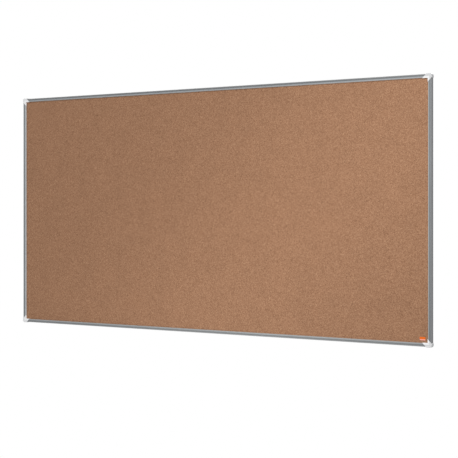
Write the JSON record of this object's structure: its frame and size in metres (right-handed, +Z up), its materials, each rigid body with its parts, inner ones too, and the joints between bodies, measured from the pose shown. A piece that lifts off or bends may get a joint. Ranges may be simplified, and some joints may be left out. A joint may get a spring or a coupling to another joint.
{
  "type": "cork bulletin board",
  "caption": "Wide cork notice board for a wall: cork on a fibreboard panel in a slim aluminium frame, with white plastic corners whose clip-on covers hide the wall screws.",
  "frame": {"origin": "on the wall plane, at the middle of the board, which is the middle of the rectangle of the four wall screws", "axes": "+X along the board's width, to the right seen from the front; +Y into the wall, so the cork faces -Y; +Z up"},
  "size_m": [1.804, 0.0162, 0.904],
  "materials": {
    "cork": "natural fine-grained cork, matt",
    "fibreboard": "raw fibreboard",
    "backing": "grey paper liner, matt",
    "frame_aluminium": "satin anodised",
    "key_steel": "zinc plated",
    "white_plastic": "moulded, satin",
    "cover_plastic": "moulded, satin",
    "label_orange": "printed film label"
  },
  "bodies": {
    "board": {"cork_sheet": "cork", "core_board": "fibreboard", "backing_sheet": "backing", "rail_top": "frame_aluminium", "rail_bottom": "frame_aluminium", "rail_left": "frame_aluminium", "rail_right": "frame_aluminium", "corner_key_top_left": "key_steel", "corner_key_top_right": "key_steel", "corner_key_bottom_left": "key_steel", "corner_key_bottom_right": "key_steel", "corner_base_top_left": "white_plastic", "corner_base_top_right": "white_plastic", "corner_base_bottom_left": "white_plastic", "corner_base_bottom_right": "white_plastic", "label_badge": "label_orange"},
    "cover_top_left": {"corner_cover_top_left": "cover_plastic"},
    "cover_top_right": {"corner_cover_top_right": "cover_plastic"},
    "cover_bottom_left": {"corner_cover_bottom_left": "cover_plastic"},
    "cover_bottom_right": {"corner_cover_bottom_right": "cover_plastic"}
  },
  "joints": [
    {"name": "cover_top_left_pull", "type": "slide", "parent": "board", "child": "cover_top_left", "axis": [0, -1, 0], "range_m": [0, 0.01]},
    {"name": "cover_top_right_pull", "type": "slide", "parent": "board", "child": "cover_top_right", "axis": [0, -1, 0], "range_m": [0, 0.01]},
    {"name": "cover_bottom_left_pull", "type": "slide", "parent": "board", "child": "cover_bottom_left", "axis": [0, -1, 0], "range_m": [0, 0.01]},
    {"name": "cover_bottom_right_pull", "type": "slide", "parent": "board", "child": "cover_bottom_right", "axis": [0, -1, 0], "range_m": [0, 0.01]}
  ]
}
